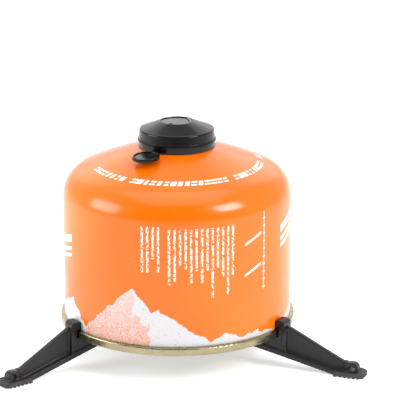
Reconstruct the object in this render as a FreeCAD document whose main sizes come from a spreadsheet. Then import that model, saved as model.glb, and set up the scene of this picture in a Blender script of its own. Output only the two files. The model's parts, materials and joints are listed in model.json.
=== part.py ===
import FreeCAD, Part
import math
import os
import re
import Sketcher

# Screw-valve gas canister with a press-on cap, standing on a three-legged folding stand.
# Origin: on the canister's axis, at the level of the surface that the foot pads stand on.
# +Z is up the canister's axis; the fixed leg of the stand points along +Y.

SIZES = {
    # canister shell
    "body_radius": 55.0,
    "steel_wall": 0.45,
    "wall_top": 77.95,
    "shoulder_radius": 15.07,
    "shoulder_sweep": 67.6,
    "crown_radius": 330.0,
    "neck_radius": 15.6,
    "neck_base": 102.75,
    "lip_width": 1.2,
    "lip_top": 104.4,
    # double seam and concave base
    "seam_radius": 56.9,
    "seam_bottom": 15.4,
    "seam_height": 3.9,
    "seam_round": 0.7,
    "seam_floor": 16.3,
    "chuck_radius": 53.3,
    "chuck_height": 4.6,
    "dome_radius": 52.6,
    "dome_foot": 21.2,
    "dome_rise": 9.35,
    # valve
    "curl_radius": 16.15,
    "curl_inside": 12.6,
    "curl_top": 105.3,
    "cup_wall": 0.5,
    "cup_floor": 98.9,
    "boss_radius": 5.55,
    "boss_wall": 0.6,
    "boss_top": 110.9,
    "probe_radius": 2.1,
    "housing_bottom": 91.5,
    "housing_wall": 1.25,
    "housing_top": 108.9,
    "housing_step": 1.6,
    "tube_bore": 0.8,
    "spring_seat": 94.0,
    "stem_radius": 1.5,
    "stem_top": 110.2,
    "stem_flange_radius": 3.2,
    "stem_flange_bottom": 106.6,
    "stem_flange_top": 108.85,
    "stem_tail": 101.0,
    "spring_radius": 2.6,
    "spring_wire": 0.3,
    "spring_turns": 6.0,
    "running_gap": 0.05,
    # cap, tear band and pull tab
    "cap_radius": 18.45,
    "cap_ridge_radius": 17.95,
    "cap_ridge": 110.0,
    "cap_parting": 105.65,
    "cap_grip": 16.22,
    "cap_skirt_bottom": 103.6,
    "cap_top": 114.2,
    "cap_dish_radius": 7.8,
    "cap_dish_depth": 0.45,
    "cap_roof": 1.2,
    "cap_ridge_round": 0.9,
    "vent_radius": 0.9,
    "band_radius": 18.6,
    "band_inside": 17.1,
    "band_bottom": 102.1,
    "band_top": 105.5,
    "band_lip": 18.85,
    "tab_root_radius": 19.15,
    "tab_root_height": 102.6,
    "tab_bearing": 228.6,
    "tab_slope": 5.0,
    "tab_thick": 1.0,
    "tab_neck_width": 4.4,
    "tab_disc_radius": 6.5,
    "tab_disc_centre": 7.4,
    # stand: hub
    "hub_bottom": 11.6,
    "plate_bottom": 18.9,
    "plate_thick": 3.5,
    "hub_reach": 31.0,
    "slot_half": 5.0,
    "slot_end": 1.0,
    "slot_mouth": 17.0,
    "pivot_across": 12.0,
    "pivot_back": 6.9282,
    "paddle_radius": 11.5,
    "paddle_gap": 0.8,
    "paddle_top": 18.6,
    "pin_radius": 2.5,
    "pin_bottom": 13.0,
    "pin_head_radius": 4.3,
    "pin_head_thick": 1.6,
    "washer_radius": 4.8,
    "washer_thick": 0.6,
    "screw_place": 20.0,
    "screw_radius": 1.5,
    "screw_bottom": 14.6,
    "screw_head_radius": 2.8,
    "screw_head_thick": 1.8,
    "tongue_half": 3.4,
    "tongue_start": 12.0,
    "tongue_bottom": 13.6,
    "arm_end": 26.0,
    "arm_gap": 0.9,
    "arm_half": 5.5,
    "root_step": 2.5,
    # stand: legs, in a leg's own frame (along the leg, across it, up)
    "leg_offset": 8.0,
    "flange_half": 3.85,
    "flange_thick": 2.7,
    "rise_start": 84.2,
    "rise_end": 33.0,
    "flange_foot": 0.1,
    "sole_thick": 1.2,
    "sole_height": 1.0,
    "sole_end": 96.8,
    "web_thick": 2.5,
    "web_peak": 20.7,
    "web_heel": 88.0,
    "web_heel_height": 6.9,
    "lug_thick": 4.0,
    "lug_centre": 92.8,
    "lug_height": 3.7,
    "lug_radius": 3.0,
    "lug_hole": 1.3,
    "post_half": 3.3,
    "post_inner": 46.6,
    "post_outer": 60.2,
    "post_top": 19.55,
    "rim_gap": 0.25,
    "hook_seat_radius": 49.4,
    "hook_top": 21.4,
    "hook_lip": 1.7,
    "thumb_place": 36.5,
    "thumb_out": 5.8,
    "thumb_radius": 3.2,
    # rim catches
    "catch_inside": 55.3,
    "catch_outside": 60.3,
    "catch_top": 23.5,
    "catch_round": 2.2,
    "catch_lip_round": 0.8,
    "catch_width": 6.8,
    # foot pads
    "foot_start": 84.5,
    "foot_end": 99.4,
    "foot_half": 5.45,
    "foot_height": 2.2,
    "foot_chamfer": 0.8,
    "foot_corner": 5.0,
    "groove_depth": 0.6,
    "groove_width": 1.1,
    "groove_pitch": 2.2,
    "groove_margin": 1.6,
}
GROOVES = 5
FULL_TURN = 360.0
LEG_BEARINGS = {"back": 90.0, "left": 210.0, "right": 330.0}

doc = FreeCAD.newDocument("canister_on_stand")
sheet = doc.addObject("Spreadsheet::Sheet", "Sheet")
for row, (alias, value) in enumerate(SIZES.items(), start=1):
    sheet.set("A%d" % row, alias)
    sheet.set("B%d" % row, str(value))
    sheet.setAlias("B%d" % row, alias)
doc.recompute()
subparts = []


def bound(text):
    """A size written with plain alias names, as an expression on the sheet."""
    return re.sub(r"[a-z_]+", lambda word: ("Sheet." + word[0]) if word[0] in SIZES else word[0], str(text))


def size(text):
    """The present value of such a size, in millimetres or degrees."""
    return float(sheet.evalExpression(bound(text)))


def bind(thing, place, text):
    thing.setExpression(place, bound(text))


def new_body(name, bearing=0.0):
    """A sub-part; bearing turns its frame about the canister's axis."""
    body = doc.addObject("PartDesign::Body", name)
    body.Label = name
    body.Placement = FreeCAD.Placement(FreeCAD.Vector(), FreeCAD.Rotation(FreeCAD.Vector(0, 0, 1), bearing))
    subparts.append(body)
    return body


def new_sketch(body, role, height="0"):
    """A sketch on one of the body's origin planes, moved along the plane's normal."""
    plane = [item for item in body.Origin.OriginFeatures if item.Role == role][0]
    sketch = body.newObject("Sketcher::SketchObject", body.Name + "_sketch")
    sketch.AttachmentSupport = [(plane, "")]
    sketch.MapMode = "FlatFace"
    bind(sketch, ".AttachmentOffset.Base.z", height)
    return sketch


def pin_point(sketch, edge, end, across, up):
    """Hold one end of an edge at a pair of sheet sizes."""
    for kind, text in (("DistanceX", across), ("DistanceY", up)):
        index = sketch.addConstraint(Sketcher.Constraint(kind, edge, end, size(text)))
        bind(sketch, "Constraints[%d]" % index, text)


def arc_through(start, end, radius, turn):
    """The short arc between two points; turn is +1 when it runs anticlockwise."""
    chord = end - start
    half = chord.Length / 2.0
    rise = math.sqrt(max(radius * radius - half * half, 0.0))
    normal = FreeCAD.Vector(-chord.y, chord.x, 0).normalize()
    centre = start + chord * 0.5 + normal * (rise * turn)
    circle = Part.Circle(centre, FreeCAD.Vector(0, 0, 1), radius)
    first, last = (start, end) if turn > 0 else (end, start)
    begin = math.atan2(first.y - centre.y, first.x - centre.x)
    finish = math.atan2(last.y - centre.y, last.x - centre.x)
    if finish < begin:
        finish += 2.0 * math.pi
    return Part.ArcOfCircle(circle, begin, finish)


def draw_outline(sketch, points):
    """Closed outline: (x, y) ends a straight run, (x, y, radius, turn) ends an arc."""
    corners = [FreeCAD.Vector(size(point[0]), size(point[1]), 0) for point in points]
    ends = []
    for number, point in enumerate(points):
        start = corners[number - 1]
        end = corners[number]
        if len(point) == 2:
            edge = sketch.addGeometry(Part.LineSegment(start, end))
            ends.append((edge, 1, 2))
        else:
            turn = point[3]
            edge = sketch.addGeometry(arc_through(start, end, size(point[2]), turn))
            ends.append((edge, 1, 2) if turn > 0 else (edge, 2, 1))
            index = sketch.addConstraint(Sketcher.Constraint("Radius", edge, size(point[2])))
            bind(sketch, "Constraints[%d]" % index, point[2])
    for number, point in enumerate(points):
        edge, first, last = ends[number]
        after, after_first, after_last = ends[(number + 1) % len(points)]
        sketch.addConstraint(Sketcher.Constraint("Coincident", edge, last, after, after_first))
        pin_point(sketch, edge, last, point[0], point[1])


def draw_circle(sketch, across, up, radius):
    """A full circle placed and sized by the sheet."""
    centre = FreeCAD.Vector(size(across), size(up), 0)
    edge = sketch.addGeometry(Part.Circle(centre, FreeCAD.Vector(0, 0, 1), size(radius)))
    index = sketch.addConstraint(Sketcher.Constraint("Radius", edge, size(radius)))
    bind(sketch, "Constraints[%d]" % index, radius)
    pin_point(sketch, edge, 3, across, up)


def solid_volume(body):
    doc.recompute()
    return body.Shape.Volume


def pad(body, sketch, length, centred=False):
    """Extrude along the sketch's normal, or equally to both sides of it."""
    feature = body.newObject("PartDesign::Pad", body.Name + "_pad")
    feature.Profile = sketch
    feature.SideType = "Symmetric" if centred else "One side"
    bind(feature, "Length", length)
    return feature


def pocket(body, sketch, length, upward=False, centred=False):
    """Cut along the sketch's normal (upward) or against it; the cut must remove material."""
    before = solid_volume(body)
    feature = body.newObject("PartDesign::Pocket", body.Name + "_pocket")
    feature.Profile = sketch
    feature.SideType = "Symmetric" if centred else "One side"
    feature.Reversed = upward
    bind(feature, "Length", length)
    if solid_volume(body) >= before:
        raise RuntimeError(feature.Name + " cuts nothing")
    return feature


def turned(body, points, angle="360", centred=False):
    """Revolve a profile given as (radius, height) points about the vertical axis."""
    sketch = new_sketch(body, "XZ_Plane")
    draw_outline(sketch, points)
    feature = body.newObject("PartDesign::Revolution", body.Name + "_turned")
    feature.Profile = sketch
    feature.ReferenceAxis = (sketch, ["V_Axis"])
    feature.Midplane = centred
    bind(feature, "Angle", angle)
    return feature


def ring_groove(body, points):
    """Cut a ring-shaped groove about the vertical axis."""
    before = solid_volume(body)
    sketch = new_sketch(body, "XZ_Plane")
    draw_outline(sketch, points)
    feature = body.newObject("PartDesign::Groove", body.Name + "_groove")
    feature.Profile = sketch
    feature.ReferenceAxis = (sketch, ["V_Axis"])
    feature.Angle = FULL_TURN
    if solid_volume(body) >= before:
        raise RuntimeError(feature.Name + " cuts nothing")
    return feature


def rectangle(left, low, right, high):
    return [(left, low), (right, low), (right, high), (left, high)]


# ---------------------------------------------------------------- canister


def canister_body():
    """Drawn steel shell: straight wall, rounded shoulder and crown."""
    body = new_body("canister_body")
    centre = "(body_radius - shoulder_radius)"
    inner = "(shoulder_radius - steel_wall)"
    outer_end = (centre + " + shoulder_radius * cos(shoulder_sweep)",
                 "wall_top + shoulder_radius * sin(shoulder_sweep)", "shoulder_radius", 1)
    inner_start = (centre + " + %s * cos(shoulder_sweep)" % inner,
                   "wall_top + %s * sin(shoulder_sweep)" % inner, "crown_radius", -1)
    turned(body, [
        ("body_radius - steel_wall", "seam_floor"),
        ("body_radius", "seam_floor"),
        ("body_radius", "wall_top"),
        outer_end,
        ("neck_radius", "neck_base", "crown_radius", 1),
        ("neck_radius - lip_width", "neck_base"),
        ("neck_radius - lip_width", "neck_base - 0.8 * steel_wall"),
        inner_start,
        ("body_radius - steel_wall", "wall_top", inner, -1),
    ])


def base_dome():
    """Concave steel base with the double seam that grips the shell's lower edge."""
    body = new_body("base_dome")
    under_radius = "((dome_radius ^ 2 + dome_rise ^ 2) / (2 * dome_rise))"
    over_radius = "(%s + steel_wall)" % under_radius
    edge_height = "dome_foot + dome_rise - %s + sqrt(%s ^ 2 - dome_radius ^ 2)" % (under_radius, over_radius)
    turned(body, [
        ("body_radius", "seam_floor"),
        ("chuck_radius + steel_wall", "seam_floor"),
        ("chuck_radius + steel_wall", "seam_bottom + chuck_height + 0.2"),
        ("dome_radius", edge_height),
        ("0", "dome_foot + dome_rise + steel_wall", over_radius, 1),
        ("0", "dome_foot + dome_rise"),
        ("dome_radius", "dome_foot", under_radius, -1),
        ("chuck_radius", "seam_bottom + chuck_height"),
        ("chuck_radius", "seam_bottom + seam_round"),
        ("chuck_radius + seam_round", "seam_bottom", "seam_round", 1),
        ("seam_radius - seam_round", "seam_bottom"),
        ("seam_radius", "seam_bottom + seam_round", "seam_round", 1),
        ("seam_radius", "seam_bottom + seam_height - seam_round"),
        ("seam_radius - seam_round", "seam_bottom + seam_height", "seam_round", 1),
        ("body_radius", "seam_bottom + seam_height"),
    ])


def plain_ring(name, inner, outer, low, high):
    body = new_body(name)
    turned(body, rectangle(inner, low, outer, high))


def valve_cup():
    """Pressed cup clinched over the neck lip, with the tall boss that a burner screws onto."""
    body = new_body("valve_cup")
    outside = "(curl_inside + cup_wall)"
    turned(body, [
        ("curl_radius - cup_wall", "neck_base + 0.4"),
        ("curl_radius", "neck_base + 0.4"),
        ("curl_radius", "curl_top - cup_wall"),
        ("curl_radius - cup_wall", "curl_top", "cup_wall", 1),
        ("curl_inside + cup_wall", "curl_top"),
        ("curl_inside", "curl_top - cup_wall", "cup_wall", 1),
        ("curl_inside", "cup_floor + cup_wall"),
        ("boss_radius + cup_wall", "cup_floor + cup_wall"),
        ("boss_radius", "cup_floor + 2 * cup_wall", "cup_wall", -1),
        ("boss_radius", "boss_top - boss_wall"),
        ("boss_radius - boss_wall", "boss_top"),
        ("probe_radius", "boss_top"),
        ("probe_radius", "boss_top - boss_wall"),
        ("boss_radius - boss_wall", "boss_top - boss_wall"),
        ("boss_radius - boss_wall", "cup_floor"),
        (outside, "cup_floor"),
        (outside, "curl_top - cup_wall + 0.05"),
        ("curl_radius - cup_wall", "curl_top - cup_wall + 0.05"),
    ])


def valve_housing():
    """Moulded housing pressed into the boss; it holds the spring and guides the stem."""
    body = new_body("valve_housing")
    bore = "(boss_radius - boss_wall - housing_wall)"
    turned(body, [
        ("tube_bore", "housing_bottom"),
        ("boss_radius - housing_step", "housing_bottom"),
        ("boss_radius - housing_step", "cup_floor - housing_step / 2"),
        ("boss_radius - boss_wall", "cup_floor"),
        ("boss_radius - boss_wall", "housing_top"),
        (bore, "housing_top"),
        (bore, "spring_seat"),
        ("tube_bore", "spring_seat"),
    ])


def valve_stem():
    """Stem: tip through the gasket, sealing flange, and a tail inside the spring."""
    body = new_body("valve_stem")
    turned(body, [
        ("0", "stem_tail"),
        ("stem_radius", "stem_tail"),
        ("stem_radius", "stem_flange_bottom"),
        ("stem_flange_radius", "stem_flange_bottom"),
        ("stem_flange_radius", "stem_flange_top"),
        ("stem_radius", "stem_flange_top"),
        ("stem_radius", "stem_top"),
        ("0", "stem_top"),
    ])


def valve_spring():
    """Coil spring between the housing's seat and the stem's flange."""
    helix = doc.addObject("Part::Helix", "spring_path")
    bind(helix, "Radius", "spring_radius")
    bind(helix, "Height", "stem_flange_bottom - spring_seat - 2.4 * spring_wire")
    bind(helix, "Pitch", "(stem_flange_bottom - spring_seat - 2.4 * spring_wire) / spring_turns")
    wire = doc.addObject("Part::Circle", "spring_section")
    bind(wire, "Radius", "spring_wire")
    wire.Placement = FreeCAD.Placement(FreeCAD.Vector(size("spring_radius"), 0, 0),
                                       FreeCAD.Rotation(FreeCAD.Vector(1, 0, 0), 90))
    spring = doc.addObject("Part::Sweep", "valve_spring")
    spring.Label = "valve_spring"
    spring.Sections = [wire]
    spring.Spine = (helix, [])
    spring.Solid = True
    spring.Frenet = True
    bind(spring, ".Placement.Base.z", "spring_seat + 1.2 * spring_wire")
    subparts.append(spring)


# ---------------------------------------------------------------- cap


def cap_shell():
    """Cap: grip skirt inside, tapered side, shallow cone and a small dished top."""
    body = new_body("cap_shell")
    turned(body, [
        ("cap_grip", "cap_skirt_bottom"),
        ("band_inside - 0.1", "cap_skirt_bottom"),
        ("band_inside - 0.1", "cap_parting"),
        ("cap_radius", "cap_parting"),
        ("cap_ridge_radius", "cap_ridge"),
        ("cap_ridge_radius - cap_ridge_round", "cap_ridge + 0.75", "cap_ridge_round", 1),
        ("cap_dish_radius + 0.5", "cap_top - 0.1"),
        ("cap_dish_radius", "cap_top"),
        ("cap_dish_radius - 0.25", "cap_top - cap_dish_depth"),
        ("0", "cap_top - cap_dish_depth"),
        ("0", "cap_top - cap_dish_depth - cap_roof"),
        ("cap_dish_radius", "cap_top - cap_dish_depth - cap_roof"),
        ("cap_grip - 0.4", "cap_ridge - 0.5"),
        ("cap_grip", "cap_ridge - 1.0"),
    ])
    vent = new_sketch(body, "XY_Plane", "cap_top")
    draw_circle(vent, "-cap_dish_radius * 0.45", "-cap_dish_radius * 0.55", "vent_radius")
    pocket(body, vent, "cap_dish_depth + cap_roof / 2")


def tear_band():
    """Tear-off band below the parting line, with a small outward lip at its top."""
    body = new_body("tear_band")
    turned(body, [
        ("band_inside", "band_bottom + 0.5"),
        ("band_radius", "band_bottom"),
        ("band_radius - 0.1", "band_top - 0.7"),
        ("band_lip", "band_top - 0.35"),
        ("band_lip", "band_top"),
        ("band_inside", "band_top"),
    ])


def pull_tab():
    """Flat tab on a short neck, lying just above the crown."""
    body = new_body("pull_tab")
    bearing = FreeCAD.Rotation(FreeCAD.Vector(0, 0, 1), size("tab_bearing"))
    slope = FreeCAD.Rotation(FreeCAD.Vector(0, 1, 0), size("tab_slope"))
    root = bearing.multVec(FreeCAD.Vector(size("tab_root_radius"), 0, size("tab_root_height")))
    body.Placement = FreeCAD.Placement(root, bearing.multiply(slope))
    neck = new_sketch(body, "XY_Plane")
    draw_outline(neck, rectangle("0", "-tab_neck_width / 2", "tab_disc_centre", "tab_neck_width / 2"))
    pad(body, neck, "tab_thick", centred=True)
    knuckle = new_sketch(body, "XZ_Plane")
    draw_circle(knuckle, "0", "0", "tab_thick / 2")
    pad(body, knuckle, "tab_neck_width", centred=True)
    disc = new_sketch(body, "XY_Plane")
    draw_circle(disc, "tab_disc_centre", "0", "tab_disc_radius")
    pad(body, disc, "tab_thick", centred=True)


# ---------------------------------------------------------------- stand


def hub_plate():
    """Three-armed plate with concave sides, and the block below it that holds the fixed leg."""
    body = new_body("hub_plate")
    half = "(hub_reach / 2)"
    far = "(hub_reach * sin(60))"
    plate = new_sketch(body, "XY_Plane", "plate_bottom")
    wide = "(leg_offset + 4)"
    narrow = "(leg_offset - 7)"
    draw_outline(plate, [
        ("leg_offset + 6", "hub_reach - 1", "1.5 * hub_reach", -1),
        ("leg_offset - 6", "hub_reach - 1"),
        ("-%s - %s / 2" % (far, wide), "-%s + %s * sin(60)" % (half, wide), "1.85 * hub_reach", -1),
        ("-%s - %s / 2" % (far, narrow), "-%s + %s * sin(60)" % (half, narrow)),
        ("-slot_half", "-slot_mouth"),
        ("-slot_half", "slot_end"),
        ("slot_half", "slot_end", "slot_half * 1.02", -1),
        ("slot_half", "-slot_mouth"),
        ("%s - %s / 2" % (far, wide), "-%s - %s * sin(60)" % (half, wide)),
        ("%s - %s / 2" % (far, narrow), "-%s - %s * sin(60)" % (half, narrow)),
    ])
    pad(body, plate, "plate_thick")
    block = new_sketch(body, "XY_Plane", "hub_bottom")
    sweep = "(paddle_radius + paddle_gap)"
    draw_outline(block, [
        ("leg_offset + arm_half", "arm_end"),
        ("leg_offset - arm_half", "arm_end"),
        ("paddle_gap", "arm_end / 2"),
        ("paddle_gap", "sqrt(%s ^ 2 - (pivot_across - paddle_gap) ^ 2) - pivot_back" % sweep),
        ("pivot_across - 2.5", "sqrt(%s ^ 2 - 2.5 ^ 2) - pivot_back" % sweep, sweep, -1),
        ("leg_offset + arm_half", "arm_end / 2 + 1"),
    ])
    pad(body, block, "plate_bottom - hub_bottom")
    groove = new_sketch(body, "XY_Plane", "tongue_bottom")
    draw_outline(groove, rectangle("leg_offset - tongue_half", "tongue_start", "leg_offset + tongue_half",
                                   "arm_end + 1"))
    pocket(body, groove, "plate_bottom - tongue_bottom", upward=True)
    holes = new_sketch(body, "XY_Plane", "plate_bottom")
    draw_circle(holes, "pivot_across", "-pivot_back", "pin_radius + running_gap")
    draw_circle(holes, "-pivot_across", "-pivot_back", "pin_radius + running_gap")
    draw_circle(holes, "leg_offset", "screw_place", "screw_radius + 0.1")
    pocket(body, holes, "plate_thick", upward=True)


def leg_beam(body):
    """Outer part that all three legs share: flange, web, lug, post, inner hook and thumb rib."""
    middle = "leg_offset"
    post = new_sketch(body, "XZ_Plane", middle)
    flange_mid = "(sole_height + hub_bottom) / 2"
    draw_outline(post, [
        ("post_inner", "%s + 2" % flange_mid),
        ("post_outer", flange_mid),
        ("post_outer", "post_top"),
        ("hook_seat_radius + 1", "post_top"),
        ("hook_seat_radius - 0.6", "hook_top"),
        ("post_inner", "hook_top"),
        ("post_inner - hook_lip", "post_top + 0.9"),
        ("post_inner - hook_lip", "post_top + 0.1"),
        ("post_inner", "post_top"),
    ])
    pad(body, post, "2 * post_half", centred=True)
    ring_groove(body, rectangle("hook_seat_radius", "seam_bottom", "seam_radius + rim_gap", "web_peak + 5"))
    web = new_sketch(body, "XZ_Plane", middle)
    draw_outline(web, [
        ("rise_end - 2", "hub_bottom + 1"),
        ("rise_start", "flange_foot + 1"),
        ("lug_centre - lug_radius", "sole_height + 0.5"),
        ("lug_centre - lug_radius", "web_heel_height"),
        ("web_heel", "web_heel_height"),
        ("post_outer", "web_peak"),
        ("post_outer - 2", "seam_bottom"),
        ("rise_end - 2", "seam_bottom"),
    ])
    pad(body, web, "web_thick", centred=True)
    lug = new_sketch(body, "XZ_Plane", middle)
    draw_outline(lug, [
        ("web_heel + 1", "sole_height + 0.5"),
        ("lug_centre + lug_radius", "sole_height + 0.5"),
        ("lug_centre + lug_radius", "lug_height"),
        ("lug_centre", "lug_height + lug_radius", "lug_radius", 1),
        ("web_heel + 1", "web_heel_height - 0.6"),
    ])
    pad(body, lug, "lug_thick", centred=True)
    eye = new_sketch(body, "XZ_Plane", middle)
    draw_circle(eye, "lug_centre", "lug_height", "lug_hole")
    pocket(body, eye, "2 * lug_thick", centred=True)
    thumb = new_sketch(body, "XY_Plane", "hub_bottom")
    draw_circle(thumb, "thumb_place", "thumb_out - leg_offset - thumb_radius", "thumb_radius")
    pad(body, thumb, "flange_thick")


def flange_outline(start, top):
    """Side view of the bottom flange, from its inner end to the sole in the foot pad."""
    return [
        (start, "hub_bottom"),
        ("rise_end", "hub_bottom"),
        ("rise_start", "flange_foot"),
        ("rise_start", "sole_height"),
        ("sole_end", "sole_height"),
        ("sole_end", "sole_height + sole_thick"),
        ("rise_start + 2", "sole_height + sole_thick"),
        ("rise_end + 3", "hub_bottom + flange_thick - 0.6"),
        ("rise_end - 2", top),
        (start, top),
    ]


def swing_leg(name, bearing, side):
    """Folding leg: a round-ended paddle turning under the hub plate, then the common beam.

    side is +1 or -1 for the leg to the right or the left of the slot."""
    body = new_body(name, bearing)
    paddle = new_sketch(body, "XY_Plane", "hub_bottom")
    along = "(pivot_across * sin(60) + pivot_back / 2)"
    step = "(pivot_across - slot_half)"
    half_chord = "sqrt(paddle_radius ^ 2 - %s ^ 2)" % step
    inner = "%s - %s * sin(60)" % (along, step)
    draw_outline(paddle, [
        ("%s + %s / 2" % (inner, half_chord), "%d * (-%s / 2 - %s * sin(60))" % (side, step, half_chord)),
        (along + " + paddle_radius * sin(60)", "%d * (-paddle_radius / 2)" % side, "paddle_radius", side),
        (along + " + paddle_radius / 2", "%d * (paddle_radius * sin(60))" % side, "paddle_radius", side),
        ("%s - %s / 2" % (inner, half_chord), "%d * (-%s / 2 + %s * sin(60))" % (side, step, half_chord),
         "paddle_radius", side),
    ])
    pad(body, paddle, "paddle_top - hub_bottom")
    flange = new_sketch(body, "XZ_Plane", "leg_offset")
    draw_outline(flange, flange_outline("paddle_radius + 5", "paddle_top"))
    pad(body, flange, "2 * flange_half", centred=True)
    leg_beam(body)
    bore = new_sketch(body, "XY_Plane", "paddle_top")
    draw_circle(bore, along, "0", "pin_radius")
    pocket(body, bore, "paddle_top - pin_bottom")


def fixed_leg():
    """Leg that doesn't fold: its tongue plugs into the hub's groove and is held by a screw."""
    body = new_body("fixed_leg", LEG_BEARINGS["back"])
    root = new_sketch(body, "XY_Plane", "hub_bottom")
    start = "(arm_end + arm_gap)"
    draw_outline(root, [
        (start, "-leg_offset - arm_half"),
        (start + " + 3", "-leg_offset - arm_half"),
        ("thumb_place", "-leg_offset - flange_half"),
        ("thumb_place", "-leg_offset + flange_half"),
        (start + " + 3", "-leg_offset + arm_half"),
        (start, "-leg_offset + arm_half"),
    ])
    pad(body, root, "plate_bottom - hub_bottom - root_step")
    tongue = new_sketch(body, "XY_Plane", "tongue_bottom")
    draw_outline(tongue, rectangle("tongue_start", "-leg_offset - tongue_half", start + " + 2",
                                   "-leg_offset + tongue_half"))
    pad(body, tongue, "plate_bottom - tongue_bottom")
    flange = new_sketch(body, "XZ_Plane", "leg_offset")
    draw_outline(flange, flange_outline(start + " + 1", "plate_bottom - root_step"))
    pad(body, flange, "2 * flange_half", centred=True)
    leg_beam(body)
    bore = new_sketch(body, "XY_Plane", "plate_bottom")
    draw_circle(bore, "screw_place", "-leg_offset", "screw_radius")
    pocket(body, bore, "plate_bottom - screw_bottom")


def head_dome(radius, thick):
    """Radius of the sphere that tops a head over the upper half of its thickness."""
    return "(%s ^ 2 + (%s / 2) ^ 2) / %s" % (radius, thick, thick)


def headed_pin(name, across, back, profile):
    """A turned pin with a head, standing at a place on the hub."""
    body = new_body(name)
    turned(body, profile)
    bind(body, ".Placement.Base.x", across)
    bind(body, ".Placement.Base.y", back)


def pivot_pin(name, across):
    seat = "plate_bottom + plate_thick + washer_thick + running_gap"
    headed_pin(name, across, "-pivot_back", [
        ("0", "pin_bottom"),
        ("pin_radius", "pin_bottom"),
        ("pin_radius", seat),
        ("pin_head_radius", seat),
        ("pin_head_radius", seat + " + pin_head_thick / 2"),
        ("0", seat + " + pin_head_thick", head_dome("pin_head_radius", "pin_head_thick"), 1),
    ])


def leg_screw():
    """Screw through the hub plate into the fixed leg's tongue."""
    seat = "plate_bottom + plate_thick"
    headed_pin("leg_screw", "leg_offset", "screw_place", [
        ("0", "screw_bottom"),
        ("screw_radius", "screw_bottom"),
        ("screw_radius", seat),
        ("screw_head_radius", seat),
        ("screw_head_radius", seat + " + screw_head_thick / 2"),
        ("0", seat + " + screw_head_thick", head_dome("screw_head_radius", "screw_head_thick"), 1),
    ])


def pivot_washers():
    """The two washers under the heads of the pivot pins, as one group of separate solids."""
    rings = []
    for side, across in (("left", "-pivot_across"), ("right", "pivot_across")):
        disc = doc.addObject("Part::Cylinder", "washer_disc_" + side)
        hole = doc.addObject("Part::Cylinder", "washer_hole_" + side)
        bind(disc, "Radius", "washer_radius")
        bind(hole, "Radius", "pin_radius + running_gap")
        for item in (disc, hole):
            bind(item, "Height", "washer_thick")
            bind(item, ".Placement.Base.x", across)
            bind(item, ".Placement.Base.y", "-pivot_back")
            bind(item, ".Placement.Base.z", "plate_bottom + plate_thick")
        ring = doc.addObject("Part::Cut", "washer_" + side)
        ring.Base = disc
        ring.Tool = hole
        rings.append(ring)
    group = doc.addObject("Part::Compound", "pivot_washers")
    group.Label = "pivot_washers"
    group.Links = rings
    subparts.append(group)


def rim_catch(name, bearing):
    """Hooked catch on top of a leg's post; it reaches over the seam to the canister's wall."""
    turn = math.degrees(math.asin(size("leg_offset") / size("catch_outside")))
    body = new_body(name, bearing - turn)
    turned(body, [
        ("catch_inside", "post_top"),
        ("catch_outside", "post_top"),
        ("catch_outside", "catch_top - catch_round"),
        ("catch_outside - catch_round", "catch_top", "catch_round", 1),
        ("catch_inside + catch_lip_round", "catch_top"),
        ("catch_inside", "catch_top - catch_lip_round", "catch_lip_round", 1),
    ], "2 * asin(catch_width / 2 / catch_outside)", centred=True)


def foot_pad(name, bearing):
    """Rubber pad round the end of a leg's sole, with cross grooves underneath."""
    body = new_body(name, bearing)
    outline = new_sketch(body, "XY_Plane")
    draw_outline(outline, [
        ("foot_start", "-leg_offset - foot_half"),
        ("foot_end - foot_corner", "-leg_offset - foot_half"),
        ("foot_end", "-leg_offset - foot_half + foot_corner", "foot_corner", 1),
        ("foot_end", "-leg_offset + foot_half - foot_corner"),
        ("foot_end - foot_corner", "-leg_offset + foot_half", "foot_corner", 1),
        ("foot_start", "-leg_offset + foot_half"),
    ])
    pad(body, outline, "foot_height")
    seat = new_sketch(body, "XZ_Plane", "leg_offset")
    draw_outline(seat, rectangle("foot_start - 1", "sole_height", "sole_end", "foot_height + 1"))
    pocket(body, seat, "2 * flange_half", centred=True)
    nose = new_sketch(body, "XZ_Plane", "leg_offset")
    draw_outline(nose, [
        ("foot_end - foot_chamfer", "-1"),
        ("foot_end + 1", "-1"),
        ("foot_end + 1", "foot_chamfer + 1"),
        ("foot_end - foot_chamfer - 0.01", "0"),
    ])
    pocket(body, nose, "4 * foot_half", centred=True)
    for number in range(GROOVES):
        place = "foot_start + groove_margin + groove_pitch * %d" % number
        cut = new_sketch(body, "XZ_Plane", "leg_offset")
        draw_outline(cut, rectangle(place, "-1", place + " + groove_width", "groove_depth"))
        pocket(body, cut, "4 * foot_half", centred=True)


canister_body()
base_dome()
plain_ring("seam_sealant", "chuck_radius + steel_wall", "body_radius - steel_wall",
           "seam_floor", "seam_floor + 2.7")
plain_ring("neck_collar", "neck_radius - lip_width", "neck_radius", "neck_base", "lip_top")
valve_cup()
plain_ring("cup_gasket", "curl_inside + cup_wall", "curl_radius - cup_wall",
           "lip_top", "curl_top - cup_wall + 0.05")
valve_housing()
plain_ring("stem_gasket", "stem_radius + running_gap", "boss_radius - boss_wall", "housing_top",
           "boss_top - boss_wall")
valve_stem()
valve_spring()
cap_shell()
tear_band()
pull_tab()
hub_plate()
fixed_leg()
swing_leg("swing_leg_left", LEG_BEARINGS["left"], -1)
swing_leg("swing_leg_right", LEG_BEARINGS["right"], 1)
pivot_pin("pivot_pin_left", "-pivot_across")
pivot_pin("pivot_pin_right", "pivot_across")
pivot_washers()
leg_screw()
for side_name, leg_bearing in LEG_BEARINGS.items():
    rim_catch("rim_catch_" + side_name, leg_bearing)
    foot_pad("foot_pad_" + side_name, leg_bearing)

doc.recompute()
for item in doc.Objects:
    if "Invalid" in item.State or "Error" in item.State:
        raise RuntimeError(item.Name + " failed: " + str(item.State))
for part in subparts:
    if part.Shape.isNull() or not part.Shape.isValid() or not part.Shape.Solids:
        raise RuntimeError(part.Label + " has no valid solid")

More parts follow.
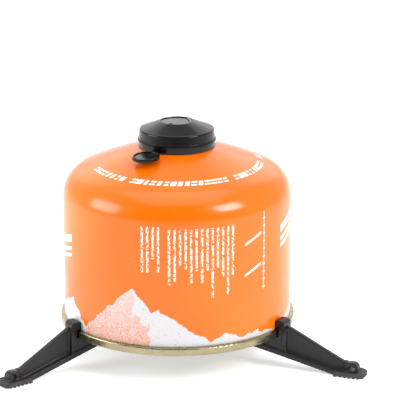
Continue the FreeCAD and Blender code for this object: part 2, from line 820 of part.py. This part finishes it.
os.makedirs("parts", exist_ok=True)
for part in subparts:
    part.Shape.exportStep("parts/" + part.Label + ".step")
    print(part.Label, len(part.Shape.Solids), "solids", round(part.Shape.Volume, 1), "mm3")
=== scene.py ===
import json
import math

import bmesh
import bpy
from mathutils import Matrix, Vector


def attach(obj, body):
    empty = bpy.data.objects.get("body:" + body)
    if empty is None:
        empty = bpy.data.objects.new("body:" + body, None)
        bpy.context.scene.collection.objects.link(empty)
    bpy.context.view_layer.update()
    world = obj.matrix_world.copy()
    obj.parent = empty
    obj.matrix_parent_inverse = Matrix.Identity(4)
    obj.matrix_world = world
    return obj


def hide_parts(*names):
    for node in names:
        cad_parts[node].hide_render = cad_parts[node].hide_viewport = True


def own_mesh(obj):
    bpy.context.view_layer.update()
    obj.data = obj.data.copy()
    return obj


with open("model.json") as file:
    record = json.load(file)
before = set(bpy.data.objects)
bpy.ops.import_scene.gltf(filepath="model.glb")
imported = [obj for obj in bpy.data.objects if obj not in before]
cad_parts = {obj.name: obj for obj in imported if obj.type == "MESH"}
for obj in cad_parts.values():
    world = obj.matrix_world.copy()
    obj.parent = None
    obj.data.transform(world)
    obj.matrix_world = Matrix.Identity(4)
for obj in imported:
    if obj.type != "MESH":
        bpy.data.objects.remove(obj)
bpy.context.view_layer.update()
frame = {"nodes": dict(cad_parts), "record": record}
nodes = frame["nodes"]

# The print on the canister. Bearings are in degrees to the right of the side that faces the camera,
# distances along the wall and heights in mm.
FRONT_BEARING = math.radians(-98.1)
WALL_RADIUS = 55.0
MM_PER_DEGREE = WALL_RADIUS * math.pi / 180.0
# each mountain: bearing, height, and how steeply its left and right flanks fall in mm per degree
PEAKS = [
    (-195.0, 44.0, 0.90, 0.70), (-140.0, 38.0, 0.60, 0.80), (-105.0, 29.0, 0.50, 0.50),
    (-65.0, 33.0, 0.40, 0.85), (-22.5, 47.5, 0.85, 1.25), (-10.0, 37.5, 0.50, 0.62),
    (24.0, 24.5, 0.45, 0.35), (42.0, 22.5, 0.25, 0.20), (82.0, 25.0, 0.25, 0.40),
    (125.0, 36.0, 0.70, 0.60), (165.0, 44.0, 0.90, 0.70),
]
MAIN_PEAK_BEARING, MAIN_PEAK_HEIGHT = -22.5, 47.5
EVEN = (1.0, 1.0, 1.0)  # noise that isn't stretched


class Material:
    """A procedural material: the shader, plus short names for the nodes that feed it."""

    def __init__(self, name, colour, roughness, metallic=0.0):
        self.data = bpy.data.materials.new(name)
        self.data.use_nodes = True
        self.tree = self.data.node_tree
        self.shader = self.tree.nodes["Principled BSDF"]
        self.set("Base Color", linear(colour))
        self.set("Roughness", roughness)
        self.set("Metallic", metallic)
        self.place = self.tree.nodes.new("ShaderNodeTexCoord").outputs["Object"]

    def set(self, socket, value):
        """Give one of the shader's own sockets a uniform value."""
        self.shader.inputs[socket].default_value = value

    def feed(self, socket, source):
        """Give a socket either another socket or a plain number."""
        if hasattr(source, "is_linked"):
            self.tree.links.new(source, socket)
        else:
            socket.default_value = source

    def math(self, operation, first, second=0.0, third=0.0):
        node = self.tree.nodes.new("ShaderNodeMath")
        node.operation = operation
        for socket, source in zip(node.inputs, (first, second, third)):
            self.feed(socket, source)
        return node.outputs[0]

    def product(self, *factors):
        result = factors[0]
        for factor in factors[1:]:
            result = self.math("MULTIPLY", result, factor)
        return result

    def either(self, *masks):
        result = masks[0]
        for mask in masks[1:]:
            result = self.math("MAXIMUM", result, mask)
        return result

    def between(self, value, low, high):
        """1 where value lies between two numbers, else 0."""
        return self.product(self.math("GREATER_THAN", value, low), self.math("LESS_THAN", value, high))

    def random(self, first, second=0.0):
        """The same random number from 0 to 1 for each pair of whole numbers."""
        pair = self.tree.nodes.new("ShaderNodeCombineXYZ")
        self.feed(pair.inputs[0], first)
        self.feed(pair.inputs[1], second)
        node = self.tree.nodes.new("ShaderNodeTexWhiteNoise")
        node.noise_dimensions = "2D"
        self.tree.links.new(pair.outputs[0], node.inputs["Vector"])
        return node.outputs["Value"]

    def noise(self, size_mm, detail=3.0, stretch=EVEN):
        """Noise whose features are about size_mm across."""
        mapping = self.tree.nodes.new("ShaderNodeMapping")
        mapping.inputs["Scale"].default_value = stretch
        self.tree.links.new(self.place, mapping.inputs["Vector"])
        node = self.tree.nodes.new("ShaderNodeTexNoise")
        node.inputs["Scale"].default_value = 1000.0 / size_mm
        node.inputs["Detail"].default_value = detail
        self.tree.links.new(mapping.outputs[0], node.inputs["Vector"])
        return node.outputs["Fac"]

    def spread(self, value, low, high):
        """Noise, which stays mostly within 0.3 to 0.7, spread over low to high."""
        node = self.tree.nodes.new("ShaderNodeMapRange")
        node.inputs["From Min"].default_value = 0.3
        node.inputs["From Max"].default_value = 0.7
        node.inputs["To Min"].default_value = low
        node.inputs["To Max"].default_value = high
        self.tree.links.new(value, node.inputs["Value"])
        return node.outputs[0]

    def mix(self, factor, first, second):
        """Blend of two colours, which are sockets 6 and 7 of the node; the result is its output 2."""
        node = self.tree.nodes.new("ShaderNodeMix")
        node.data_type = "RGBA"
        self.feed(node.inputs["Factor"], factor)
        self.feed(node.inputs[6], first)
        self.feed(node.inputs[7], second)
        return node.outputs[2]

    def bump(self, height, distance_mm, strength):
        node = self.tree.nodes.new("ShaderNodeBump")
        node.inputs["Distance"].default_value = distance_mm / 1000.0
        node.inputs["Strength"].default_value = strength
        self.tree.links.new(height, node.inputs["Height"])
        self.tree.links.new(node.outputs[0], self.shader.inputs["Normal"])

    def colour(self, source):
        self.tree.links.new(source, self.shader.inputs["Base Color"])

    def roughness(self, source):
        self.tree.links.new(source, self.shader.inputs["Roughness"])


def linear(rgb):
    """An sRGB colour given in 0..255, as the linear RGBA that shaders take."""
    def channel(value):
        value /= 255.0
        return value / 12.92 if value <= 0.04045 else ((value + 0.055) / 1.055) ** 2.4
    return (channel(rgb[0]), channel(rgb[1]), channel(rgb[2]), 1.0)


# ---------------------------------------------------------------- printed canister


def printed_paint():
    """Orange gloss paint with a white print: mountains, columns of dashes, a scale and a ring of blocks."""
    orange, light_orange = linear((251, 106, 1)), linear((252, 118, 5))
    white, snow_white, rock = linear((246, 240, 232)), linear((210, 212, 216)), linear((226, 118, 22))

    m = Material("orange_print", (251, 114, 10), 0.22)
    m.set("Coat Weight", 0.05)
    m.set("Specular IOR Level", 0.4)
    m.set("Coat Roughness", 0.14)
    split = m.tree.nodes.new("ShaderNodeSeparateXYZ")
    m.tree.links.new(m.place, split.inputs[0])
    x, y = split.outputs[0], split.outputs[1]
    height = m.math("MULTIPLY", split.outputs[2], 1000.0)
    cosine, sine = math.cos(FRONT_BEARING), math.sin(FRONT_BEARING)
    towards = m.math("ADD", m.product(x, cosine), m.product(y, sine))
    across = m.math("SUBTRACT", m.product(y, cosine), m.product(x, sine))
    bearing = m.math("MULTIPLY", m.math("ARCTAN2", across, towards), 180.0 / math.pi)
    along = m.math("MULTIPLY", bearing, MM_PER_DEGREE)
    radius = m.math("MULTIPLY", m.math("SQRT", m.math("ADD", m.product(x, x), m.product(y, y))), 1000.0)

    snow, shade = mountains(m, bearing, height)
    ink = m.either(columns(m, along, height, left=-18.5, right=-8.0, top=77.5, longest=27.0, seed=1.0),
                   columns(m, along, height, left=-5.0, right=28.5, top=76.5, longest=34.0, seed=5.0),
                   tick_scale(m, along, height),
                   slanted_bars(m, along, height, middle=69.0, top=72.0),
                   slanted_bars(m, along, height, middle=-72.0, top=62.0),
                   block_ring(m, bearing, radius, height))
    drift = m.mix(m.spread(m.noise(60.0, detail=1.0), 0.0, 1.0), orange, light_orange)
    printed = m.mix(m.math("GREATER_THAN", ink, 0.5), drift, white)
    speckled = m.mix(shade, snow_white, rock)
    m.colour(m.mix(snow, printed, speckled))
    m.roughness(m.spread(m.noise(25.0, detail=4.0), 0.18, 0.27))
    m.bump(m.noise(9.0, detail=2.0), distance_mm=0.01, strength=0.25)
    return m.data


def mountains(m, bearing, height):
    """(snow mask, how much of the rock shows through it) for the range round the foot of the wall."""
    ragged_mm, ridge_lean, ridge_wander = 6.0, 0.3, 34.0
    shaded_depth, grain_at_peak, grain_gain = 26.0, 0.36, 0.7
    faint_share, faint_strength = 0.36, 0.35
    main_left, main_right = -52.0, 60.0

    jagged = m.math("MULTIPLY", m.math("SUBTRACT", m.noise(3.5, detail=6.0), 0.5), ragged_mm)
    skyline = None
    for place, top, left, right in PEAKS:
        offset = m.math("SUBTRACT", bearing, place)
        fall = m.math("ADD", m.product(m.math("MAXIMUM", offset, 0.0), right),
                      m.product(m.math("MINIMUM", offset, 0.0), -left))
        flank = m.math("SUBTRACT", top, fall)
        skyline = flank if skyline is None else m.math("MAXIMUM", skyline, flank)
    snow = m.math("LESS_THAN", height, m.math("ADD", skyline, jagged))
    below = m.math("SUBTRACT", MAIN_PEAK_HEIGHT, height)
    ridge = m.math("MULTIPLY_ADD", below, ridge_lean, MAIN_PEAK_BEARING)
    wander = m.math("MULTIPLY", m.math("SUBTRACT", m.noise(8.0, detail=5.0), 0.5), ridge_wander)
    left_of_ridge = m.math("LESS_THAN", m.math("ADD", bearing, wander), ridge)
    depth = m.math("MULTIPLY", below, 1.0 / shaded_depth)
    fine = m.spread(m.noise(0.5, detail=3.0, stretch=(1.0, 1.0, 0.6)), 0.0, 1.0)
    grains = m.math("MULTIPLY", fine, m.math("MULTIPLY_ADD", depth, grain_gain, grain_at_peak))
    faint = m.math("LESS_THAN", m.noise(1.1, detail=3.0), faint_share)
    on_main = m.between(bearing, main_left, main_right)
    return snow, m.either(m.product(left_of_ridge, grains, on_main), m.product(faint, faint_strength))


def columns(m, along, height, left, right, top, longest, seed):
    """Columns of tiny dashes between two bearings; they stand for small print and spell nothing."""
    pitch, dash, dashes_across, blank_share = 2.55, 0.62, 6.0, 0.4
    left_edge, right_edge = 0.28, 0.72

    step = m.math("DIVIDE", along, pitch)
    column = m.math("FLOOR", step)
    inside = m.between(m.math("FRACT", step), left_edge, right_edge)
    length = m.math("MULTIPLY_ADD", m.random(column, seed), longest * 0.5, longest * 0.5)
    drop = m.math("SUBTRACT", top, height)
    in_length = m.product(m.math("GREATER_THAN", drop, 0.0), m.math("LESS_THAN", drop, length))
    cell = m.math("FLOOR", m.math("DIVIDE", height, dash))
    part = m.math("FLOOR", m.math("MULTIPLY", step, dashes_across))
    inked = m.math("GREATER_THAN", m.random(m.math("ADD", cell, seed), part), blank_share)
    return m.product(inside, in_length, inked, m.between(along, left * MM_PER_DEGREE, right * MM_PER_DEGREE))


def tick_scale(m, along, height):
    """A plain vertical scale with ticks and two slanted bars."""
    line, half_line, half_tick, tick_pitch = 45.5, 0.22, 0.75, 3.75
    bar_slope, half_bar, bar_starts, bar_middle, bar_ends = 0.42, 0.6, 12.0, 7.0, 2.0
    low, high = 42.0, 80.0

    rise = m.between(height, low, high)
    stem = m.between(along, line - half_line, line + half_line)
    tick = m.product(m.between(along, line - half_tick, line + half_tick),
                     m.between(m.math("FRACT", m.math("DIVIDE", height, tick_pitch)), 0.42, 0.60))
    bars = []
    for middle in (68.0, 53.0):
        slope = m.math("MULTIPLY_ADD", m.math("SUBTRACT", along, line - bar_middle), bar_slope, middle)
        off = m.math("SUBTRACT", height, slope)
        bars.append(m.product(m.between(off, -half_bar, half_bar),
                              m.between(along, line - bar_starts, line - bar_ends)))
    return m.either(m.product(rise, m.either(stem, tick)), *bars)


def slanted_bars(m, along, height, middle, top):
    """Three plain slanted bars near a side of the canister."""
    slope, half_length = -0.28, 9.0

    lean = m.math("MULTIPLY_ADD", m.math("SUBTRACT", along, middle), slope, height)
    bars = [m.between(lean, top - drop, top - drop + thick)
            for drop, thick in ((3.6, 3.6), (7.6, 1.7), (11.0, 1.7))]
    return m.product(m.either(*bars), m.between(along, middle - half_length, middle + half_length))


def block_ring(m, bearing, radius, height):
    """Part of a ring of plain leaning blocks on the crown; some are cut across and a few are missing."""
    pitch, lean_per_mm, missing_share, cut_share = 4.6, 0.35, 0.08, 0.5
    inner, middle, outer, cut_inner, cut_outer = 38.5, 40.0, 41.6, 39.6, 40.5
    least_half, half_range = 0.22, 0.28
    first, last, crown_height = -72.0, 104.0, 88.0

    lean = m.math("MULTIPLY_ADD", m.math("SUBTRACT", radius, middle), lean_per_mm, bearing)
    step = m.math("DIVIDE", lean, pitch)
    number = m.math("FLOOR", step)
    half_width = m.math("MULTIPLY_ADD", m.random(number, 3.0), half_range, least_half)
    off = m.math("ABSOLUTE", m.math("SUBTRACT", m.math("FRACT", step), 0.5))
    inside = m.math("LESS_THAN", off, half_width)
    bar = m.between(radius, inner, outer)
    uncut = m.math("SUBTRACT", 1.0, m.product(m.between(radius, cut_inner, cut_outer),
                                              m.math("GREATER_THAN", m.random(number, 9.0), cut_share)))
    present = m.math("GREATER_THAN", m.random(number, 21.0), missing_share)
    return m.product(inside, bar, uncut, present, m.between(bearing, first, last),
                     m.math("GREATER_THAN", height, crown_height))


# ---------------------------------------------------------------- other materials


def moulded_plastic(name, colour, roughness, grain_mm, grain_depth_mm, specular=0.5):
    """Moulded plastic: fine grain, slow change of gloss and faint scuffs."""
    m = Material(name, colour, roughness)
    m.set("Specular IOR Level", specular)
    scuff = m.spread(m.noise(1.8, detail=5.0, stretch=(1.0, 1.0, 0.25)), 0.0, 1.0)
    lighter = tuple(value + 8 for value in colour)
    m.colour(m.mix(m.product(scuff, 0.5), linear(colour), linear(lighter)))
    m.roughness(m.spread(m.noise(12.0, detail=4.0), roughness - 0.06, roughness + 0.08))
    m.bump(m.noise(grain_mm, detail=3.0), distance_mm=grain_depth_mm, strength=0.5)
    return m.data


def sheet_metal(name, colour, deep_colour, roughness, streak=EVEN):
    """Drawn metal: uneven lacquer, and fine drawing marks, which streak squeezes along an axis."""
    m = Material(name, colour, roughness, metallic=1.0)
    m.colour(m.mix(m.spread(m.noise(14.0, detail=4.0), 0.0, 1.0), linear(colour), linear(deep_colour)))
    m.roughness(m.spread(m.noise(3.0, detail=4.0, stretch=streak), roughness - 0.07, roughness + 0.1))
    m.bump(m.noise(4.0, detail=2.0, stretch=streak), distance_mm=0.003, strength=0.2)
    return m.data


def foot_rubber():
    """Matt rubber with a dusty bloom."""
    m = Material("foot_rubber", (44, 45, 48), 0.7)
    m.colour(m.mix(m.spread(m.noise(5.0, detail=5.0), 0.0, 0.6), linear((40, 41, 44)), linear((70, 71, 74))))
    m.roughness(m.spread(m.noise(2.0, detail=3.0), 0.6, 0.82))
    m.bump(m.noise(0.35, detail=2.0), distance_mm=0.04, strength=0.6)
    return m.data


MATERIALS = {
    "orange_paint": printed_paint(),
    "gold_steel": sheet_metal("gold_lacquer", (160, 154, 126), (143, 136, 104), roughness=0.24,
                              streak=(1.0, 1.0, 3.0)),
    "tin_steel": sheet_metal("tinplate", (205, 206, 208), (180, 182, 186), roughness=0.26,
                             streak=(1.0, 1.0, 5.0)),
    "seal_rubber": moulded_plastic("seal_rubber", (38, 38, 38), roughness=0.6, grain_mm=0.4,
                                   grain_depth_mm=0.02),
    "valve_plastic": moulded_plastic("valve_plastic", (222, 220, 212), roughness=0.45, grain_mm=0.5,
                                     grain_depth_mm=0.02),
    "spring_steel": sheet_metal("spring_steel", (190, 191, 194), (160, 162, 166), roughness=0.24),
    "cap_plastic": moulded_plastic("cap_plastic", (6, 6, 7), roughness=0.15, grain_mm=2.5,
                                   grain_depth_mm=0.002, specular=0.28),
    "stand_plastic": moulded_plastic("stand_plastic", (27, 28, 30), roughness=0.36, grain_mm=0.6,
                                     grain_depth_mm=0.02, specular=0.35),
    "pin_steel": sheet_metal("pin_steel", (150, 152, 156), (120, 122, 126), roughness=0.32),
    "foot_rubber": foot_rubber(),
}


def dress(thing, slot):
    """Give an object the material of its slot in the record."""
    thing.data.materials.clear()
    thing.data.materials.append(MATERIALS[slot])


for subpart in frame["record"]["subparts"]:
    dress(nodes[subpart["node"]], subpart["material_slot"])


# ---------------------------------------------------------------- pieces in mesh code


def metres(x, y, z):
    """A point given in mm, in metres."""
    return (x / 1000.0, y / 1000.0, z / 1000.0)


def turned(radius, angle, height):
    """The point at a radius and height in mm and an angle in radians, in metres."""
    return metres(radius * math.cos(angle), radius * math.sin(angle), height)


def skin(shape, loops, ring=False):
    """Faces between neighbouring loops of corners; a ring meets its first loop, else both ends are capped."""
    count = len(loops[0])
    for number in range(len(loops) if ring else len(loops) - 1):
        here, there = loops[number], loops[(number + 1) % len(loops)]
        for corner in range(count):
            after = (corner + 1) % count
            shape.faces.new((here[corner], there[corner], there[after], here[after]))
    if not ring:
        shape.faces.new(loops[0])
        shape.faces.new(reversed(loops[-1]))


def finished(name, shape):
    """The mesh of a closed shape, with its normals outwards."""
    mesh = bpy.data.meshes.new(name)
    bmesh.ops.recalc_face_normals(shape, faces=shape.faces)
    shape.to_mesh(mesh)
    shape.free()
    return mesh


def new_piece(name, mesh, body, slot, smooth=True):
    """Put a mesh in the scene as a piece that rides on a CAD body."""
    piece = bpy.data.objects.new(name, mesh)
    bpy.context.scene.collection.objects.link(piece)
    dress(piece, slot)
    for face in mesh.polygons:
        face.use_smooth = smooth
    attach(piece, body)
    return piece


def soften(node, body, slot, voxel_mm):
    """Stand-in for a moulded CAD node with its edges rounded, as a mould leaves them."""
    source = nodes[node]
    piece = bpy.data.objects.new(node + "_soft", source.data.copy())
    bpy.context.scene.collection.objects.link(piece)
    remesh = piece.modifiers.new("skin", "REMESH")
    remesh.mode = "VOXEL"
    remesh.voxel_size = voxel_mm / 1000.0
    rounding = piece.modifiers.new("rounding", "SMOOTH")
    rounding.factor = 0.5
    rounding.iterations = 3
    shaped = bpy.data.meshes.new_from_object(piece.evaluated_get(bpy.context.evaluated_depsgraph_get()))
    bpy.data.objects.remove(piece)
    soft = new_piece(node + "_soft", shaped, body, slot)
    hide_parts(node)


def turned_ring(name, section, body, slot, steps, centre_mm=0.0, transform=None):
    """Closed ring turned from (radius, height) points in mm, about an axis that is centre_mm along X."""
    shape = bmesh.new()
    loops = []
    for step in range(steps):
        angle = 2.0 * math.pi * step / steps
        cosine, sine = math.cos(angle), math.sin(angle)
        loops.append([shape.verts.new(metres(centre_mm + radius * cosine, radius * sine, height))
                      for radius, height in section])
    skin(shape, loops, ring=True)
    mesh = finished(name, shape)
    if transform is not None:
        mesh.transform(transform)
    new_piece(name, mesh, body, slot)


def tab_frame():
    """Where the pull tab's hinge stands: the same place and slope as on the CAD tab."""
    bearing, slope, hinge_radius, hinge_height = math.radians(228.6), math.radians(5.0), 19.15, 102.6
    root = Matrix.Translation(metres(hinge_radius, 0.0, hinge_height))
    return Matrix.Rotation(bearing, 4, "Z") @ root @ Matrix.Rotation(slope, 4, "Y")


def thread_ridge():
    """The valve's screw thread, 28 to the inch, as one helical ridge on the boss."""
    low, high, radius, across = 100.6, 109.6, 5.52, 0.16
    half_foot, half_crest, sunk = 0.3, 0.04, 0.2
    pitch, steps_per_turn = 25.4 / 28.0, 48

    turns = (high - low) / pitch
    steps = int(turns * steps_per_turn)
    shape = bmesh.new()
    loops = []
    for step in range(steps + 1):
        angle = 2.0 * math.pi * turns * step / steps
        middle = low + (high - low) * step / steps
        corners = [(radius, middle - half_foot), (radius + across, middle - half_crest),
                   (radius + across, middle + half_crest), (radius, middle + half_foot),
                   (radius - sunk, middle)]
        loops.append([shape.verts.new(turned(reach, angle, height)) for reach, height in corners])
    skin(shape, loops)
    new_piece("valve_thread_ridge", finished("valve_thread_ridge", shape), "canister", "tin_steel")


def compressing_coil():
    """The valve spring, as a fixed coil of wire; in the real valve it shortens as the stem is pressed in."""
    low, high, coil_radius, wire_radius, turns = 94.4, 106.2, 2.6, 0.3, 6.0
    steps_per_turn, corners = 40, 10

    steps = int(turns * steps_per_turn)
    shape = bmesh.new()
    loops = []
    for step in range(steps + 1):
        angle = 2.0 * math.pi * turns * step / steps
        middle = low + (high - low) * step / steps
        loop = []
        for corner in range(corners):
            around = 2.0 * math.pi * corner / corners
            reach = coil_radius + wire_radius * math.cos(around)
            loop.append(shape.verts.new(turned(reach, angle, middle + wire_radius * math.sin(around))))
        loops.append(loop)
    skin(shape, loops)
    coil = new_piece("valve_coil", finished("valve_coil", shape), "canister", "spring_steel")
    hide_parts("valve_spring")
    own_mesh(coil)


def dish_step():
    """Raised step on one side of the dished cap top, which gives the dish its D shape."""
    first, last, count = math.radians(-38.0), math.radians(42.0), 20

    shape = bmesh.new()
    loops = []
    for height, radius in ((113.7, 7.7), (114.02, 7.7), (114.15, 7.45)):
        angles = [first + (last - first) * number / count for number in range(count + 1)]
        loops.append([shape.verts.new(turned(radius, angle, height)) for angle in angles])
    skin(shape, loops)
    new_piece("cap_dish_step", finished("cap_dish_step", shape), "cap", "cap_plastic", smooth=False)


def post_ribs(leg, body, bearing):
    """Two rounded ribs down a leg's post, one on each side of the web."""
    post_along, post_across, rib_offset, half_along, half_across = 58.9, -8.0, 2.9, 1.35, 0.75
    swells = ((11.0, 0.6), (11.8, 1.0), (15.5, 1.1), (18.2, 1.0), (19.2, 0.6))
    corners = 16

    shape = bmesh.new()
    for side in (-1.0, 1.0):
        loops = []
        for height, swell in swells:
            loop = []
            for corner in range(corners):
                angle = 2.0 * math.pi * corner / corners
                along = post_along + half_along * swell * math.cos(angle)
                across = post_across + side * (rib_offset + half_across * swell * math.sin(angle))
                loop.append(shape.verts.new(metres(along, across, height)))
            loops.append(loop)
        skin(shape, loops)
    mesh = finished(leg + "_ribs", shape)
    mesh.transform(Matrix.Rotation(math.radians(bearing), 4, "Z"))
    new_piece(leg + "_ribs", mesh, body, "stand_plastic")


bpy.context.view_layer.update()
LEG_BODIES = {"swing_leg_left": "leg_left", "swing_leg_right": "leg_right", "fixed_leg": "stand"}
LEG_BEARINGS = {"fixed_leg": 90.0, "swing_leg_left": 210.0, "swing_leg_right": 330.0}
TAB_DISC_CENTRE = 7.4  # mm from the tab's hinge, as on the CAD tab

for leg, body in LEG_BODIES.items():
    soften(leg, body, "stand_plastic", voxel_mm=0.38)
soften("hub_plate", "stand", "stand_plastic", voxel_mm=0.4)
compressing_coil()
dish_step()
turned_ring("pull_tab_rim", [(5.3, 0.45), (5.5, 0.85), (5.9, 1.0), (6.25, 0.8), (6.35, 0.45)],
            "tab", "cap_plastic", steps=64, centre_mm=TAB_DISC_CENTRE, transform=tab_frame())
turned_ring("cap_upper_bead", [(18.3, 105.9), (18.55, 106.0), (18.62, 106.2), (18.5, 106.4), (18.2, 106.5)],
            "cap", "cap_plastic", steps=96)
thread_ridge()
for leg, bearing in LEG_BEARINGS.items():
    post_ribs(leg, LEG_BODIES[leg], bearing)


# ---------------------------------------------------------------- stage, lights, camera


def stage_floor():
    """Pale floor whose far side curves up, so that it has no horizon."""
    half_width = 4.0
    profile = [(-2.5, 0.0), (1.0, 0.0), (1.6, 0.08), (2.1, 0.4), (2.4, 1.0), (2.5, 3.0)]

    mesh = bpy.data.meshes.new("floor")
    shape = bmesh.new()
    left = [shape.verts.new((-half_width, y, z)) for y, z in profile]
    right = [shape.verts.new((half_width, y, z)) for y, z in profile]
    for number in range(len(profile) - 1):
        shape.faces.new((left[number], right[number], right[number + 1], left[number + 1]))
    shape.to_mesh(mesh)
    shape.free()
    for face in mesh.polygons:
        face.use_smooth = True
    floor = bpy.data.objects.new("floor", mesh)
    bpy.context.scene.collection.objects.link(floor)
    paper = Material("floor_paper", (232, 231, 230), 0.8)
    paper.set("Emission Color", (1.0, 0.99, 0.98, 1.0))
    paper.set("Emission Strength", 0.56)
    floor.data.materials.append(paper.data)


def soft_light(name, place, size, watts):
    """Rectangular light aimed at the middle of the object."""
    aim = Vector((0.0, 0.0, 0.06))
    data = bpy.data.lights.new(name, "AREA")
    data.shape = "RECTANGLE"
    data.size, data.size_y = size
    data.energy = watts
    light = bpy.data.objects.new(name, data)
    light.location = place
    light.rotation_euler = (aim - Vector(place)).to_track_quat("-Z", "Y").to_euler()
    bpy.context.scene.collection.objects.link(light)


def studio_tent(tree):
    """White tent round the object, darker towards the front, where the photographer stands."""
    strength, tilt_up = 0.75, 0.25
    white_until, dark_from = 0.1, 0.8
    white, dark = (1.0, 1.0, 1.0, 1.0), (0.07, 0.07, 0.07, 1.0)

    place = tree.nodes.new("ShaderNodeTexCoord")
    facing = tree.nodes.new("ShaderNodeVectorMath")
    facing.operation = "DOT_PRODUCT"
    facing.inputs[1].default_value = (math.cos(FRONT_BEARING), math.sin(FRONT_BEARING), tilt_up)
    tree.links.new(place.outputs["Generated"], facing.inputs[0])
    shade = tree.nodes.new("ShaderNodeValToRGB")
    for stop, position, colour in zip(shade.color_ramp.elements, (white_until, dark_from), (white, dark)):
        stop.position = position
        stop.color = colour
    tree.links.new(facing.outputs["Value"], shade.inputs["Fac"])
    tree.links.new(shade.outputs["Color"], tree.nodes["Background"].inputs["Color"])
    tree.nodes["Background"].inputs["Strength"].default_value = strength


def photo_camera():
    """Camera at the photo's viewing angle, fitted to the outlines of the rim and the wall."""
    data = bpy.data.cameras.new("camera")
    data.lens = 187.1
    data.sensor_width = 36.0
    camera = bpy.data.objects.new("camera", data)
    camera.location = (-0.1409, -0.9900, 0.3714)
    camera.rotation_euler = (math.radians(73.25), 0.0, math.radians(-8.954))
    bpy.context.scene.collection.objects.link(camera)
    bpy.context.scene.camera = camera


stage_floor()
soft_light("top", place=(0.0, -0.1, 1.6), size=(1.6, 1.6), watts=12.0)
soft_light("left", place=(-1.05, -0.05, 0.46), size=(0.6, 0.5), watts=7.5)
soft_light("right", place=(0.76, -0.66, 0.72), size=(0.5, 0.42), watts=10.0)
soft_light("back", place=(0.15, 1.3, 0.85), size=(2.0, 0.9), watts=4.0)

world = bpy.data.worlds.new("studio")
world.use_nodes = True
studio_tent(world.node_tree)
bpy.context.scene.world = world
bpy.context.scene.view_settings.view_transform = "Standard"
photo_camera()

bpy.context.view_layer.update()
